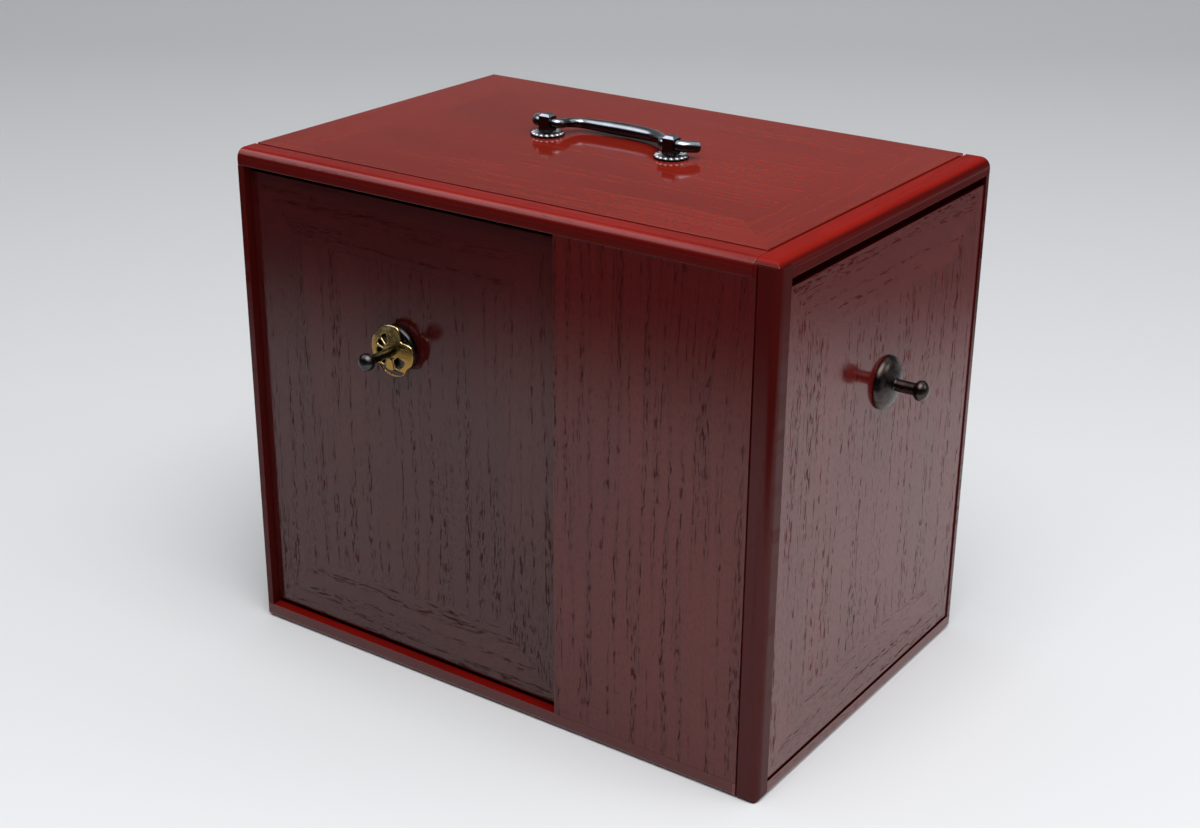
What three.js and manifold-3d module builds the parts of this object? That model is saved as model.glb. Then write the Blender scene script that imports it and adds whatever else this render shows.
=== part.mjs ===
import * as THREE from 'three';
import Module from 'manifold-3d';
import { mergeVertices } from 'three/addons/utils/BufferGeometryUtils.js';

// Tea utensil box with two lift-out doors, in millimetres.
// X runs to the right along the front, Y to the back, Z up.
// The origin is the centre of the underside.

// Case, overall
const caseWidth = 330;
const caseDepth = 220;
const caseHeight = 280;

// Boards and solid edge strips
const topThickness = 9;
const bottomThickness = 8.5;
const stripWidth = 14;
const topRoundOver = 5.5;
const bottomRoundOver = 3;
const stripGrooveWidth = 1.8;
const stripGrooveDepth = 1.5;
const leftBoardThickness = 8;
const backBoardThickness = 9;
const partitionThickness = 8;
const fixedPanelThickness = 8;

// Corner post at the front right
const postWidth = 12;
const postDepth = 11;
const postCorner = 5;
const postTopBelowTop = 2.5;
const postLine = 1;

// Front door, lifted up and out at the bottom
const frontDoorRecess = 5;
const frontDoorThickness = 8;
const frontDoorRight = 42;
const leftStileFace = 4;
const frontGapAbove = 3.1;
const frontGapBelow = 2.5;
const frontLift = 2.8;

// Side door
const sideDoorRecess = 0.8;
const sideDoorThickness = 9;
const rearStileFace = 3.5;
const sideGapAbove = 4.4;
const sideGapBelow = 0.5;
const sideLift = 3.9;

// Tongues of the doors and the grooves they stand in
const tongueThickness = 4;
const tongueGrip = 1.5;
const grooveWidth = 5;
const grooveFloorGap = 0.3;
const doorEdgeGap = 0.5;
const tongueFreeLift = 0.4;

// Strips that the doors shut against
const stopWidth = 6;
const stopDepth = 6;
const stopGap = 0.5;
const sideStopWidth = 8.5;
const sideStopDepth = 8;

// Shelves
const shelfThickness = 8;
const shelfGap = 0.5;
const shelfFrontGap = 5;
const leftShelfHeight = 143;
const rightShelfHeight = 170;
const cleatSize = 6;

// Carrying handle: the bail lies back on the top and swings over to the front
const handleCentreX = -10;
const handleCentreY = 10.4;
const handleSpan = 80;
const eyeHeight = 7.1;
const eyeRadius = 2.7;
const pinRadius = 2.4;
const handleHeadWidth = 7;
const handleHeadTop = 12;
const handleHeadChamfer = 1.3;
const stemRadius = 2;
const stemHoleGap = 0.3;
const washerRadius = 9.5;
const washerThickness = 2.2;
const washerLobes = 16;
const washerLobeDepth = 1;
const nutRadius = 4.6;
const nutThickness = 3;
const stemBelowNut = 1.5;
const bailTilt = 8;
const bailReach = 20.4;
const bailBend = 2.9;
const leftBendTurn = 88;
const rightBendTurn = 52;
const armGap = 0.45;
const pinFloat = 0.6;
const gripHalfWidth = 4.8;
const gripHalfThickness = 3.6;
const endRadius = 3.1;
const endLength = 7.5;
const endStraight = 4;
const endReach = 8;

// Pulls of both doors
const frontPullHeight = 190;
const sidePullHeight = 188;
const frontPullReach = 30.6;
const sidePullReach = 23.6;
const pullPlateRadius = 14;
const bossRootRadius = 10;
const bossRadius = 12.8;
const bossThickness = 5.6;
const bossEdge = 1;
const rosetteThickness = 3;
const rosetteHubRadius = 4.6;
const rosetteRimWidth = 4;
const rosetteNotchDepth = 4.6;
const frontPinRadius = 2.5;
const frontButtonRadius = 4.7;
const frontButtonHalf = 4.1;
const sidePinRadius = 3.2;
const sideButtonRadius = 5.3;
const sideButtonHalf = 3.9;
const sideDomeThickness = 6;
const pullStemRadius = 2;
const pullNutRadius = 4.4;
const pullNutThickness = 3;
const pullGap = 0.3;

// Levels and faces worked out from the sizes above
const left = -caseWidth / 2;
const right = caseWidth / 2;
const front = -caseDepth / 2;
const back = caseDepth / 2;
const sill = bottomThickness;
const head = caseHeight - topThickness;
const stripInnerX = right - stripWidth;
const stripInnerY = front + stripWidth;
const postLeft = right - postWidth;
const postBack = front + postDepth;
const postTop = caseHeight - postTopBelowTop;
const leftInner = left + leftBoardThickness;
const backInner = back - backBoardThickness;
const partitionRight = frontDoorRight + partitionThickness;
const panelBack = front + fixedPanelThickness;
const pullCentreX = (left + leftStileFace + frontDoorRight) / 2;
const sideOpeningBack = back - rearStileFace;
const pullCentreY = (postBack + sideOpeningBack) / 2;
const frontDoorFace = front + frontDoorRecess;
const frontDoorBack = frontDoorFace + frontDoorThickness;
const sideDoorFace = right - sideDoorRecess;
const sideDoorBack = sideDoorFace - sideDoorThickness;
const handlePostsX = [handleCentreX - handleSpan / 2, handleCentreX + handleSpan / 2];
const sillOfNuts = head - nutThickness;

// How far a cutting shape runs past what it cuts
const overrun = 1;

// How many steps stand for each kind of curve
const stepsInCorner = 6;
const roundSteps = 24;
const holeSteps = 24;
const squareSteps = 4;
const stepsPerLobe = 6;
const stepsInButton = 8;
const stepsInDome = 8;
const stepsInWindow = 4;
const rosetteStepAngle = 4;
const bailSides = 20;
const stepsInBend = 5;
const stepsInSpan = 3;
const stepsInEnd = 6;

const wasm = await Module();
wasm.setup();

const lacquer = (name) => new THREE.MeshStandardMaterial({
  name, color: 0x5e1a1c, roughness: 0.25, metalness: 0,
});
const plainWood = (name) => new THREE.MeshStandardMaterial({
  name, color: 0x6a2a22, roughness: 0.5, metalness: 0,
});
const darkMetal = (name) => new THREE.MeshStandardMaterial({
  name, color: 0x2a2624, roughness: 0.35, metalness: 0.9,
});
const brassMetal = (name) => new THREE.MeshStandardMaterial({
  name, color: 0xb8923c, roughness: 0.3, metalness: 1,
});

// A box between two corners
function box(x0, x1, y0, y1, z0, z1) {
  const geometry = new THREE.BoxGeometry(x1 - x0, y1 - y0, z1 - z0);
  return geometry.translate((x0 + x1) / 2, (y0 + y1) / 2, (z0 + z1) / 2);
}

// A closed geometry as a solid for cutting and joining
function solid(geometry) {
  const bare = geometry.index ? geometry.toNonIndexed() : geometry.clone();
  bare.deleteAttribute('normal');
  bare.deleteAttribute('uv');
  const merged = mergeVertices(bare, 1e-4);
  return new wasm.Manifold(new wasm.Mesh({
    numProp: 3,
    vertProperties: new Float32Array(merged.attributes.position.array),
    triVerts: new Uint32Array(merged.index.array),
  }));
}

function geometryOf(body) {
  const mesh = body.getMesh();
  const geometry = new THREE.BufferGeometry();
  geometry.setAttribute('position', new THREE.BufferAttribute(new Float32Array(mesh.vertProperties), 3));
  geometry.setIndex(new THREE.BufferAttribute(new Uint32Array(mesh.triVerts), 1));
  return geometry;
}

function cut(body, ...tools) {
  return tools.reduce((rest, tool) => rest.subtract(solid(tool)), body);
}

// An outline in (y, z) drawn out along X
function alongX(outline, x0, x1) {
  const geometry = new THREE.ExtrudeGeometry(outline, {
    depth: x1 - x0, bevelEnabled: false, curveSegments: stepsInCorner,
  });
  const turn = new THREE.Matrix4().makeBasis(
    new THREE.Vector3(0, 1, 0),
    new THREE.Vector3(0, 0, 1),
    new THREE.Vector3(1, 0, 0),
  );
  return geometry.applyMatrix4(turn).translate(x0, 0, 0);
}

// An outline in (x, z) drawn out along Y, from y1 forward to y0
function alongY(outline, y0, y1) {
  const geometry = new THREE.ExtrudeGeometry(outline, {
    depth: y1 - y0, bevelEnabled: false, curveSegments: stepsInCorner,
  });
  const turn = new THREE.Matrix4().makeBasis(
    new THREE.Vector3(1, 0, 0),
    new THREE.Vector3(0, 0, 1),
    new THREE.Vector3(0, -1, 0),
  );
  return geometry.applyMatrix4(turn).translate(0, y1, 0);
}

// A rectangle whose corners are rounded by the radii given, counter-clockwise from the low corner
function rounded(x0, x1, y0, y1, radii) {
  const [a, b, c, d] = radii;
  const shape = new THREE.Shape();
  shape.moveTo(x0 + a, y0);
  shape.lineTo(x1 - b, y0);
  if (b > 0) shape.absarc(x1 - b, y0 + b, b, -Math.PI / 2, 0, false);
  shape.lineTo(x1, y1 - c);
  if (c > 0) shape.absarc(x1 - c, y1 - c, c, 0, Math.PI / 2, false);
  shape.lineTo(x0 + d, y1);
  if (d > 0) shape.absarc(x0 + d, y1 - d, d, Math.PI / 2, Math.PI, false);
  shape.lineTo(x0, y0 + a);
  if (a > 0) shape.absarc(x0 + a, y0 + a, a, Math.PI, Math.PI * 1.5, false);
  return shape;
}

// A round bar along X
function barX(radius, x0, x1, y, z) {
  const geometry = new THREE.CylinderGeometry(radius, radius, x1 - x0, roundSteps);
  return geometry.rotateZ(Math.PI / 2).translate((x0 + x1) / 2, y, z);
}

// A round bar along Y
function barY(radius, y0, y1, x, z) {
  const geometry = new THREE.CylinderGeometry(radius, radius, y1 - y0, roundSteps);
  return geometry.translate(0, (y0 + y1) / 2, 0).translate(x, 0, z);
}

// A round bar along Z
function barZ(radius, z0, z1, x, y) {
  const geometry = new THREE.CylinderGeometry(radius, radius, z1 - z0, roundSteps);
  return geometry.rotateX(Math.PI / 2).translate(x, y, (z0 + z1) / 2);
}

// The whole top: a slab rounded over at the front and the right, that the boards are cut from
function topSlab() {
  const section = rounded(front, back, head, caseHeight, [0, 0, 0, topRoundOver]);
  const sideSection = rounded(left, right, head, caseHeight, [0, 0, topRoundOver, 0]);
  return solid(alongX(section, left, right)).intersect(solid(alongY(sideSection, front, back)));
}

function bottomSlab() {
  const r = bottomRoundOver;
  const section = rounded(front, back, 0, sill, [r, 0, 0, 0]);
  const sideSection = rounded(left, right, 0, sill, [0, r, 0, 0]);
  return solid(alongX(section, left, right)).intersect(solid(alongY(sideSection, front, back)));
}

// The three regions of a slab: the board, its front strip and its right strip
const region = {
  board: () => box(left, stripInnerX, stripInnerY, back, -overrun, caseHeight + overrun),
  frontStrip: () => box(left, stripInnerX, front, stripInnerY, -overrun, caseHeight + overrun),
  rightStrip: () => box(stripInnerX, right, front, back, -overrun, caseHeight + overrun),
};
const postRoom = () => box(postLeft, right, front, postBack, -overrun, postTop);

// Grooves that the tongues of the doors stand in
const frontTongueY = frontDoorFace + frontDoorThickness / 2;
const sideTongueX = sideDoorFace - sideDoorThickness / 2;
const frontTongueTop = head + tongueGrip;
const sideTongueTop = head + tongueGrip;
const frontTongueFoot = sill + tongueFreeLift - frontLift;
const sideTongueFoot = sill + tongueFreeLift - sideLift;
const frontLeft = left + leftStileFace;

function frontGroove(z0, z1) {
  const y0 = frontTongueY - grooveWidth / 2;
  return box(frontLeft, frontDoorRight, y0, y0 + grooveWidth, z0, z1);
}

function sideGroove(z0, z1) {
  const x0 = sideTongueX - grooveWidth / 2;
  return box(x0, x0 + grooveWidth, postBack, sideOpeningBack, z0, z1);
}

// Case boards
function topBoard() {
  const grooveFloor = caseHeight - stripGrooveDepth;
  const grooveBack = stripInnerY + stripGrooveWidth;
  const grooveLeft = stripInnerX - stripGrooveWidth;
  const above = caseHeight + overrun;
  return cut(
    topSlab().intersect(solid(region.board())),
    box(left - overrun, stripInnerX, stripInnerY, grooveBack, grooveFloor, above),
    box(grooveLeft, stripInnerX + overrun, stripInnerY, back + overrun, grooveFloor, above),
    ...handlePostsX.map((x) => barZ(
      stemRadius + stemHoleGap, head - overrun, caseHeight + overrun, x, handleCentreY,
    )),
  );
}

function topFrontStrip() {
  const grooveTop = frontTongueTop + frontLift + grooveFloorGap;
  return cut(topSlab().intersect(solid(region.frontStrip())), frontGroove(head - overrun, grooveTop));
}

function topRightStrip() {
  const grooveTop = sideTongueTop + sideLift + grooveFloorGap;
  return cut(
    topSlab().intersect(solid(region.rightStrip())),
    sideGroove(head - overrun, grooveTop),
    postRoom(),
  );
}

function bottomBoard() {
  return bottomSlab().intersect(solid(region.board()));
}

function bottomFrontStrip() {
  const grooveFloor = frontTongueFoot - grooveFloorGap;
  return cut(bottomSlab().intersect(solid(region.frontStrip())), frontGroove(grooveFloor, sill + overrun));
}

function bottomRightStrip() {
  const grooveFloor = sideTongueFoot - grooveFloorGap;
  return cut(
    bottomSlab().intersect(solid(region.rightStrip())),
    sideGroove(grooveFloor, sill + overrun),
    postRoom(),
  );
}

function leftSideBoard() {
  const rebateBack = frontDoorBack + stopGap;
  return cut(
    solid(box(left, leftInner, front, backInner, sill, head)),
    box(frontLeft, leftInner + overrun, front - overrun, rebateBack, sill - overrun, head + overrun),
  );
}

function backBoard() {
  const rebateLeft = sideDoorBack - stopGap;
  return cut(
    solid(box(left, right, backInner, back, sill, head)),
    box(rebateLeft, right + overrun, backInner - overrun, sideOpeningBack, sill - overrun, head + overrun),
  );
}

// The post runs from the floor to just under the edge of the top. Its foot is rounded over with the
// bottom, and a thin groove is cut down its left edge.
function cornerPost() {
  const outline = rounded(postLeft, right, front, postBack, [0, postCorner, 0, 0]);
  const geometry = new THREE.ExtrudeGeometry(outline, {
    depth: postTop, bevelEnabled: false, curveSegments: stepsInCorner,
  });
  const aboveTheFoot = solid(box(left, right, front, back, bottomRoundOver, caseHeight));
  return cut(
    solid(geometry).intersect(bottomSlab().add(aboveTheFoot)),
    box(postLeft - overrun, postLeft + postLine, front - overrun, front + postLine, -overrun, caseHeight),
  );
}

// A door seen from its edge: a board with a thin tongue above and below
function doorOutline(face, inner, foot, shoulderLow, shoulderHigh, top) {
  const middle = (face + inner) / 2;
  const tongue = tongueThickness / 2;
  const outer = Math.max(face, inner);
  const low = Math.min(face, inner);
  const shape = new THREE.Shape();
  shape.moveTo(low, shoulderLow);
  shape.lineTo(middle - tongue, shoulderLow);
  shape.lineTo(middle - tongue, foot);
  shape.lineTo(middle + tongue, foot);
  shape.lineTo(middle + tongue, shoulderLow);
  shape.lineTo(outer, shoulderLow);
  shape.lineTo(outer, shoulderHigh);
  shape.lineTo(middle + tongue, shoulderHigh);
  shape.lineTo(middle + tongue, top);
  shape.lineTo(middle - tongue, top);
  shape.lineTo(middle - tongue, shoulderHigh);
  shape.lineTo(low, shoulderHigh);
  shape.closePath();
  return shape;
}

function frontDoorPanel() {
  const outline = doorOutline(
    frontDoorFace, frontDoorBack,
    frontTongueFoot, sill + frontGapBelow, head - frontGapAbove, frontTongueTop,
  );
  const board = solid(alongX(outline, frontLeft + doorEdgeGap, frontDoorRight - doorEdgeGap));
  return cut(board, barY(
    pullStemRadius + pullGap, frontDoorFace - overrun, frontDoorBack + overrun,
    pullCentreX, frontPullHeight,
  ));
}

function sideDoorPanel() {
  const outline = doorOutline(
    sideDoorFace, sideDoorBack,
    sideTongueFoot, sill + sideGapBelow, head - sideGapAbove, sideTongueTop,
  );
  const board = solid(alongY(outline, postBack + doorEdgeGap, sideOpeningBack - doorEdgeGap));
  return cut(board, barX(
    pullStemRadius + pullGap, sideDoorBack - overrun, sideDoorFace + overrun,
    pullCentreY, sidePullHeight,
  ));
}

// A closed outline through the points given
function outlineOf(points, Kind = THREE.Shape) {
  const path = new Kind();
  points.forEach((point, i) => {
    if (i === 0) path.moveTo(...point);
    else path.lineTo(...point);
  });
  path.closePath();
  return path;
}

const polar = (radius, angle) => [radius * Math.cos(angle), radius * Math.sin(angle)];
const radians = (degrees) => (degrees * Math.PI) / 180;

function roundHole(radius) {
  const points = [];
  for (let i = 0; i < holeSteps; i += 1) points.push(polar(radius, (-i / holeSteps) * Math.PI * 2));
  return outlineOf(points, THREE.Path);
}

// Handle fittings
function handleWasher(x) {
  const steps = washerLobes * stepsPerLobe;
  const points = [];
  for (let i = 0; i < steps; i += 1) {
    const angle = (i / steps) * Math.PI * 2;
    const bump = Math.abs(Math.sin((washerLobes * angle) / 2));
    points.push(polar(washerRadius - washerLobeDepth * (1 - bump), angle));
  }
  const shape = outlineOf(points);
  shape.holes.push(roundHole(stemRadius + stemHoleGap));
  const geometry = new THREE.ExtrudeGeometry(shape, { depth: washerThickness, bevelEnabled: false });
  return geometry.translate(x, handleCentreY, caseHeight);
}

function handlePost(x) {
  const lowest = caseHeight + washerThickness;
  const highest = caseHeight + handleHeadTop;
  const corner = handleHeadWidth / Math.SQRT2;
  const topCorner = corner - handleHeadChamfer * Math.SQRT2;
  const profile = [[0, lowest], [corner, lowest], [corner, highest - handleHeadChamfer]];
  profile.push([topCorner, highest], [0, highest]);
  const block = turned(profile, squareSteps).rotateX(Math.PI / 2).rotateZ(Math.PI / 4);
  const stem = barZ(stemRadius, sillOfNuts - stemBelowNut, lowest + overrun, x, handleCentreY);
  const reach = handleHeadWidth / 2 + overrun;
  const eye = barX(eyeRadius, x - reach, x + reach, handleCentreY, caseHeight + eyeHeight);
  return cut(solid(block.translate(x, handleCentreY, 0)).add(solid(stem)), eye);
}

function handleNut(x) {
  const geometry = new THREE.ExtrudeGeometry(hexagonRing(nutRadius, stemRadius + stemHoleGap), {
    depth: nutThickness, bevelEnabled: false,
  });
  return geometry.translate(x, handleCentreY, sillOfNuts);
}

function hexagonRing(radius, hole) {
  const corners = 6;
  const points = [];
  for (let i = 0; i < corners; i += 1) points.push(polar(radius, (i / corners) * Math.PI * 2));
  const shape = outlineOf(points);
  shape.holes.push(roundHole(hole));
  return shape;
}

// The bail's bow behind the posts, from left to right. Each point is a place along X, as a share of
// the run between the posts, and how far it lies behind the pivot, as a share of the bail's reach.
const bailBow = [
  [-0.92, 0.2], [-0.935, 0.43], [-0.895, 0.66], [-0.8, 0.84], [-0.62, 0.93], [-0.36, 0.97], [-0.1, 1],
  [0.14, 0.99], [0.34, 0.94], [0.5, 0.86], [0.64, 0.71], [0.77, 0.5], [0.87, 0.29],
];

// Rings of points joined into one closed tube
function tube(rings) {
  const sides = rings[0].length;
  const positions = [];
  const triangles = [];
  rings.forEach((ring) => ring.forEach((point) => positions.push(point.x, point.y, point.z)));
  for (let i = 0; i + 1 < rings.length; i += 1) {
    for (let j = 0; j < sides; j += 1) {
      const a = i * sides + j;
      const b = i * sides + ((j + 1) % sides);
      triangles.push(a, b, a + sides, b, b + sides, a + sides);
    }
  }
  const last = (rings.length - 1) * sides;
  for (let j = 1; j + 1 < sides; j += 1) {
    triangles.push(0, j + 1, j);
    triangles.push(last, last + j, last + j + 1);
  }
  const geometry = new THREE.BufferGeometry();
  geometry.setAttribute('position', new THREE.BufferAttribute(new Float32Array(positions), 3));
  geometry.setIndex(triangles);
  return geometry;
}

// A section of the bail, across its line at a point of its own plane
function bailSection(centre, tangent, halfWidth, halfThickness) {
  const tilt = radians(bailTilt);
  const section = [];
  for (let j = 0; j < bailSides; j += 1) {
    const angle = (j / bailSides) * Math.PI * 2;
    const across = halfWidth * Math.cos(angle);
    const over = halfThickness * Math.sin(angle);
    const away = centre.y + tangent.x * across;
    section.push(new THREE.Vector3(
      handleCentreX + centre.x - tangent.y * across,
      handleCentreY + away * Math.cos(tilt) + over * Math.sin(tilt),
      caseHeight + eyeHeight - away * Math.sin(tilt) + over * Math.cos(tilt),
    ));
  }
  return section;
}

// Sections along a curve in the bail's plane, with their half width and half thickness
function sectionsAlong(curve, steps, sizeAt) {
  const sections = [];
  for (let i = 0; i <= steps; i += 1) {
    const centre = curve.getPoint(i / steps);
    sections.push(bailSection(centre, curve.getTangent(i / steps), ...sizeAt(centre)));
  }
  return sections;
}

// An end of the bail: it leaves its eye straight and turns back over the washer
function bailEnd(start, side) {
  const curve = new THREE.QuadraticBezierCurve(
    new THREE.Vector2(side * start, 0),
    new THREE.Vector2(side * (start + endStraight), 0),
    new THREE.Vector2(side * (start + endLength), endReach),
  );
  return sectionsAlong(curve, stepsInEnd, () => [endRadius, endRadius]);
}

// The bail: a flattened grip between two arms, round pins in the posts' eyes, and the turned ends
function handleBail() {
  const armStart = (handleSpan - handleHeadWidth) / 2 - armGap;
  const pinEnd = (handleSpan + handleHeadWidth) / 2 + pinFloat;
  const bend = (side, turn) => [...Array(stepsInBend + 1).keys()].map((i) => {
    const angle = radians((turn * i) / stepsInBend);
    return [side * (armStart - bailBend * Math.sin(angle)), bailBend * (1 - Math.cos(angle))];
  });
  const line = [
    ...bend(-1, leftBendTurn),
    ...bailBow.map(([along, away]) => [along * armStart, away * bailReach]),
    ...bend(1, rightBendTurn).reverse(),
  ];
  const bow = new THREE.SplineCurve(line.map(([along, away]) => new THREE.Vector2(along, away)));
  const grip = sectionsAlong(bow, (line.length - 1) * stepsInSpan, (centre) => {
    const swell = Math.max(0, Math.cos(((Math.PI / 2) * centre.x) / armStart));
    return [gripHalfWidth, gripHalfThickness].map((half) => pinRadius + (half - pinRadius) * swell);
  });
  const pin = (x) => bailSection(new THREE.Vector2(x, 0), new THREE.Vector2(1, 0), pinRadius, pinRadius);
  const leftEnd = bailEnd(pinEnd, -1).map((section) => mirrored(section)).reverse();
  grip[0] = pin(-armStart);
  grip[grip.length - 1] = pin(armStart);
  return tube([...leftEnd, pin(-pinEnd), ...grip, pin(pinEnd), ...bailEnd(pinEnd, 1)]);
}

// The same section with its points in the order of a line that runs the other way
function mirrored(section) {
  const half = section.length / 2;
  return section.map((point, j) => section[(half - j + section.length) % section.length]);
}

// Profiles of radius and height, turned round the Y axis
function turned(profile, steps = roundSteps) {
  const points = profile.map(([r, along]) => new THREE.Vector2(r, along));
  return new THREE.LatheGeometry(points, steps);
}

// The flattened round button at the end of a pull's pin
function buttonEnd(radius, half, neck, reach) {
  const profile = [];
  const start = Math.asin(neck / radius);
  for (let i = 0; i <= stepsInButton; i += 1) {
    const angle = Math.PI - start - ((Math.PI - start) * i) / stepsInButton;
    profile.push([radius * Math.sin(angle), reach - half + half * Math.cos(angle)]);
  }
  profile[stepsInButton][0] = 0;
  return profile;
}

// Turn a piece of a pull, made along the Y axis, onto its door
function onFront(geometry) {
  return geometry.rotateX(Math.PI).translate(pullCentreX, frontDoorFace, frontPullHeight);
}

function onSide(geometry) {
  return geometry.rotateZ(-Math.PI / 2).translate(sideDoorFace, pullCentreY, sidePullHeight);
}

function pullPin(seat, doorThickness, shaftRadius, button) {
  const tail = -doorThickness - pullNutThickness - stemBelowNut;
  return turned([
    [0, tail],
    [pullStemRadius, tail],
    [pullStemRadius, seat],
    [shaftRadius, seat],
    ...buttonEnd(button.radius, button.half, shaftRadius, button.reach),
  ]);
}

function frontPullBase() {
  const hole = pullStemRadius + pullGap;
  const middle = bossThickness / 2;
  return onFront(turned([
    [hole, 0],
    [bossRootRadius, 0],
    [bossRadius, middle],
    [bossRadius, bossThickness - bossEdge],
    [bossRadius - bossEdge, bossThickness],
    [hole, bossThickness],
    [hole, 0],
  ]));
}

// The gilt rosette's notches, with their depth as a share of the deepest, and the windows between
// the ribs that run to its hub. Angles are in degrees from the right, with the half width of each.
const rosetteNotches = [
  { angle: 45, half: 32, share: 1 },
  { angle: -40, half: 20, share: 0.25 },
  { angle: 140, half: 16, share: 0.2 },
  { angle: -135, half: 20, share: 0.2 },
];
const rosetteWindows = [
  { angle: 154, half: 11 },
  { angle: 122, half: 13 },
  { angle: -48, half: 24 },
  { angle: -98, half: 13 },
  { angle: -135, half: 13 },
  { angle: -172, half: 14 },
];

function rosetteEdge(angle) {
  const bites = rosetteNotches.map((notch) => {
    const off = Math.abs(((angle - notch.angle + 540) % 360) - 180);
    const reach = Math.min(1, off / notch.half);
    return (notch.share * (1 + Math.cos(Math.PI * reach))) / 2;
  });
  return pullPlateRadius - rosetteNotchDepth * Math.max(...bites);
}

function frontPullRosette() {
  const edge = [...Array(360 / rosetteStepAngle).keys()].map((i) => {
    const angle = i * rosetteStepAngle;
    return polar(rosetteEdge(angle), radians(angle));
  });
  const shape = outlineOf(edge);
  shape.holes.push(roundHole(pullStemRadius + pullGap));
  rosetteWindows.forEach(({ angle, half }) => {
    const arc = (radius, turn) => [...Array(stepsInWindow + 1).keys()].map((i) => polar(
      radius, radians(angle + turn * half * (1 - (2 * i) / stepsInWindow)),
    ));
    const rim = pullPlateRadius - rosetteRimWidth;
    shape.holes.push(outlineOf([...arc(rim, 1), ...arc(rosetteHubRadius, -1)], THREE.Path));
  });
  const geometry = new THREE.ExtrudeGeometry(shape, { depth: rosetteThickness, bevelEnabled: false });
  const bossFace = frontDoorFace - bossThickness;
  return geometry.rotateX(Math.PI / 2).translate(pullCentreX, bossFace, frontPullHeight);
}

function sidePullPlate() {
  const hole = pullStemRadius + pullGap;
  const profile = [[hole, 0], [pullPlateRadius, 0]];
  for (let i = 1; i <= stepsInDome; i += 1) {
    const angle = ((Math.PI / 2) * i) / stepsInDome;
    const r = sidePinRadius + (pullPlateRadius - sidePinRadius) * Math.cos(angle);
    profile.push([r, sideDomeThickness * Math.sin(angle)]);
  }
  profile.push([hole, sideDomeThickness], [hole, 0]);
  return onSide(turned(profile));
}

function pullNut(place, doorThickness) {
  const geometry = new THREE.ExtrudeGeometry(hexagonRing(pullNutRadius, pullStemRadius + pullGap), {
    depth: pullNutThickness, bevelEnabled: false,
  });
  return place(geometry.rotateX(Math.PI / 2).translate(0, -doorThickness, 0));
}

// Everything, each piece under its name
const group = new THREE.Group();

function add(name, shape, material) {
  const geometry = shape.isBufferGeometry ? shape : geometryOf(shape);
  geometry.computeVertexNormals();
  const mesh = new THREE.Mesh(geometry, material(name));
  mesh.name = name;
  group.add(mesh);
}

add('top_board', topBoard(), lacquer);
add('top_front_strip', topFrontStrip(), lacquer);
add('top_right_strip', topRightStrip(), lacquer);
add('bottom_board', bottomBoard(), lacquer);
add('bottom_front_strip', bottomFrontStrip(), lacquer);
add('bottom_right_strip', bottomRightStrip(), lacquer);
add('left_side_board', leftSideBoard(), lacquer);
add('back_board', backBoard(), lacquer);
add('corner_post', cornerPost(), lacquer);
add('fixed_front_panel', box(frontDoorRight, postLeft, front, panelBack, sill, head), lacquer);
add('partition_board', box(frontDoorRight, partitionRight, panelBack, backInner, sill, head), plainWood);

// The doors' stops
const frontStopY = frontDoorBack + stopGap;
add('front_door_stop', box(frontDoorRight - stopWidth, frontDoorRight, frontStopY, frontStopY + stopDepth,
  sill, head), plainWood);
const sideStopX = Math.min(sideDoorBack - stopGap, postLeft);
add('side_door_stop', box(sideStopX - sideStopWidth, sideStopX, panelBack, panelBack + sideStopDepth,
  sill, head), plainWood);

// Shelves on their cleats
const cleatTop = (shelfTop) => shelfTop - shelfThickness;
const cleatBottom = (shelfTop) => cleatTop(shelfTop) - cleatSize;
const leftShelfFront = frontDoorBack + shelfFrontGap;
const behindStop = frontStopY + stopDepth;
add('left_shelf_cleat_left', box(leftInner, leftInner + cleatSize, leftShelfFront, backInner,
  cleatBottom(leftShelfHeight), cleatTop(leftShelfHeight)), plainWood);
add('left_shelf_cleat_right', box(frontDoorRight - cleatSize, frontDoorRight, behindStop, backInner,
  cleatBottom(leftShelfHeight), cleatTop(leftShelfHeight)), plainWood);
add('left_shelf', box(leftInner + shelfGap, frontDoorRight - shelfGap, behindStop + shelfGap,
  backInner - shelfGap, cleatTop(leftShelfHeight), leftShelfHeight), plainWood);
const rightShelfEnd = sideStopX - sideStopWidth - shelfGap;
add('right_shelf_cleat_front', box(partitionRight, rightShelfEnd, panelBack, panelBack + cleatSize,
  cleatBottom(rightShelfHeight), cleatTop(rightShelfHeight)), plainWood);
add('right_shelf_cleat_back', box(partitionRight, rightShelfEnd, backInner - cleatSize, backInner,
  cleatBottom(rightShelfHeight), cleatTop(rightShelfHeight)), plainWood);
add('right_shelf', box(partitionRight + shelfGap, rightShelfEnd, panelBack + shelfGap, backInner - shelfGap,
  cleatTop(rightShelfHeight), rightShelfHeight), plainWood);

// Carrying handle
const sides = ['left', 'right'];
handlePostsX.forEach((x, i) => {
  add(`handle_washer_${sides[i]}`, handleWasher(x), darkMetal);
  add(`handle_post_${sides[i]}`, handlePost(x), darkMetal);
  add(`handle_nut_${sides[i]}`, handleNut(x), darkMetal);
});
add('handle_bail', handleBail(), darkMetal);

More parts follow.
